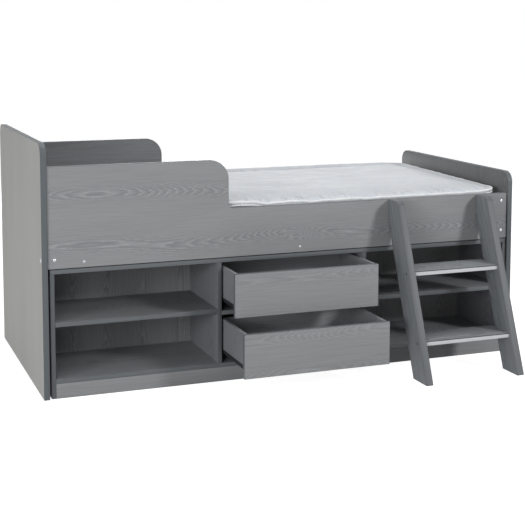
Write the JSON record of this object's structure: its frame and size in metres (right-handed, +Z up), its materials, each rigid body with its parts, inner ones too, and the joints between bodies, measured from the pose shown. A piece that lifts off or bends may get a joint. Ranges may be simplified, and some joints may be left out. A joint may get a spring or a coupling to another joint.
{
  "type": "mid sleeper bed",
  "caption": "Mid sleeper bed in grey wood-effect board, with a mattress, a low cabinet of open bays and drawers underneath, and a ladder at the foot end.",
  "frame": {"origin": "on the floor, at the middle of the bed's footprint with its ladder", "axes": "+Z up, +X from the headboard to the footboard, +Y from the ladder side to the back"},
  "size_m": [1.9644, 1.292, 0.943],
  "materials": {
    "grey_wood_effect_board": "matt grey wood-effect melamine foil",
    "pine": "planed, untreated",
    "beech": "turned and fluted, untreated",
    "mattress_fabric": "woven damask with corded edges",
    "zinc_plated_steel": "bright zinc plate",
    "dark_screw_caps": "dark cap over the screw",
    "black_runner_steel": "black powder coat",
    "roller_plastic": "natural nylon"
  },
  "bodies": {
    "bed": {"headboard": "grey_wood_effect_board", "footboard": "grey_wood_effect_board", "front_side_panel": "grey_wood_effect_board", "rear_side_panel": "grey_wood_effect_board", "front_slat_rail": "pine", "rear_slat_rail": "pine", "bed_slats": "pine", "mattress": "mattress_fabric", "cabinet_top": "grey_wood_effect_board", "cabinet_bottom": "grey_wood_effect_board", "cabinet_left_side": "grey_wood_effect_board", "cabinet_right_side": "grey_wood_effect_board", "left_divider": "grey_wood_effect_board", "right_divider": "grey_wood_effect_board", "left_shelf": "grey_wood_effect_board", "right_shelf": "grey_wood_effect_board", "drawer_shelf": "grey_wood_effect_board", "front_plinth": "grey_wood_effect_board", "rear_plinth": "grey_wood_effect_board", "cabinet_back": "grey_wood_effect_board", "upper_left_cabinet_rail": "black_runner_steel", "upper_right_cabinet_rail": "black_runner_steel", "lower_left_cabinet_rail": "black_runner_steel", "lower_right_cabinet_rail": "black_runner_steel", "ladder_left_stile": "grey_wood_effect_board", "ladder_right_stile": "grey_wood_effect_board", "upper_tread": "grey_wood_effect_board", "lower_tread": "grey_wood_effect_board", "bed_bolts": "zinc_plated_steel", "barrel_nuts": "zinc_plated_steel", "base_screws": "zinc_plated_steel", "ladder_bolts": "zinc_plated_steel", "tread_screws": "dark_screw_caps", "shelf_pins": "zinc_plated_steel", "wooden_dowels": "beech", "cabinet_screws": "zinc_plated_steel"},
    "upper_drawer": {"upper_drawer_front": "grey_wood_effect_board", "upper_drawer_left_side": "grey_wood_effect_board", "upper_drawer_right_side": "grey_wood_effect_board", "upper_drawer_back": "grey_wood_effect_board", "upper_drawer_base": "grey_wood_effect_board", "upper_left_drawer_rail": "black_runner_steel", "upper_right_drawer_rail": "black_runner_steel", "upper_drawer_screws": "zinc_plated_steel"},
    "lower_drawer": {"lower_drawer_front": "grey_wood_effect_board", "lower_drawer_left_side": "grey_wood_effect_board", "lower_drawer_right_side": "grey_wood_effect_board", "lower_drawer_back": "grey_wood_effect_board", "lower_drawer_base": "grey_wood_effect_board", "lower_left_drawer_rail": "black_runner_steel", "lower_right_drawer_rail": "black_runner_steel", "lower_drawer_screws": "zinc_plated_steel"},
    "upper_front_rollers": {"upper_left_front_roller": "roller_plastic", "upper_right_front_roller": "roller_plastic"},
    "upper_rear_rollers": {"upper_left_rear_roller": "roller_plastic", "upper_right_rear_roller": "roller_plastic"},
    "lower_front_rollers": {"lower_left_front_roller": "roller_plastic", "lower_right_front_roller": "roller_plastic"},
    "lower_rear_rollers": {"lower_left_rear_roller": "roller_plastic", "lower_right_rear_roller": "roller_plastic"}
  },
  "joints": [
    {"name": "upper_drawer_slide", "type": "slide", "parent": "bed", "child": "upper_drawer", "axis": [0, -1, 0], "range_m": [-0.148, 0.112]},
    {"name": "upper_front_rollers_turn", "type": "hinge", "parent": "bed", "child": "upper_front_rollers", "pos_m": [0, -0.28, 0.3184], "axis": [1, 0, 0], "range_deg": [-1420, 1076]},
    {"name": "upper_rear_rollers_turn", "type": "hinge", "parent": "upper_drawer", "child": "upper_rear_rollers", "pos_m": [0, -0.118, 0.3181], "axis": [1, 0, 0], "range_deg": [-1420, 1076]},
    {"name": "lower_drawer_slide", "type": "slide", "parent": "bed", "child": "lower_drawer", "axis": [0, -1, 0], "range_m": [-0.251, 0.009]},
    {"name": "lower_front_rollers_turn", "type": "hinge", "parent": "bed", "child": "lower_front_rollers", "pos_m": [0, -0.28, 0.1144], "axis": [1, 0, 0], "range_deg": [-2404, 92]},
    {"name": "lower_rear_rollers_turn", "type": "hinge", "parent": "lower_drawer", "child": "lower_rear_rollers", "pos_m": [0, -0.221, 0.1141], "axis": [1, 0, 0], "range_deg": [-2404, 92]}
  ],
  "couplings": [
    {"joint": "upper_front_rollers_turn", "follows": "upper_drawer_slide", "rad_per_m": 166.67},
    {"joint": "upper_rear_rollers_turn", "follows": "upper_drawer_slide", "rad_per_m": 166.67},
    {"joint": "lower_front_rollers_turn", "follows": "lower_drawer_slide", "rad_per_m": 166.67},
    {"joint": "lower_rear_rollers_turn", "follows": "lower_drawer_slide", "rad_per_m": 166.67}
  ]
}
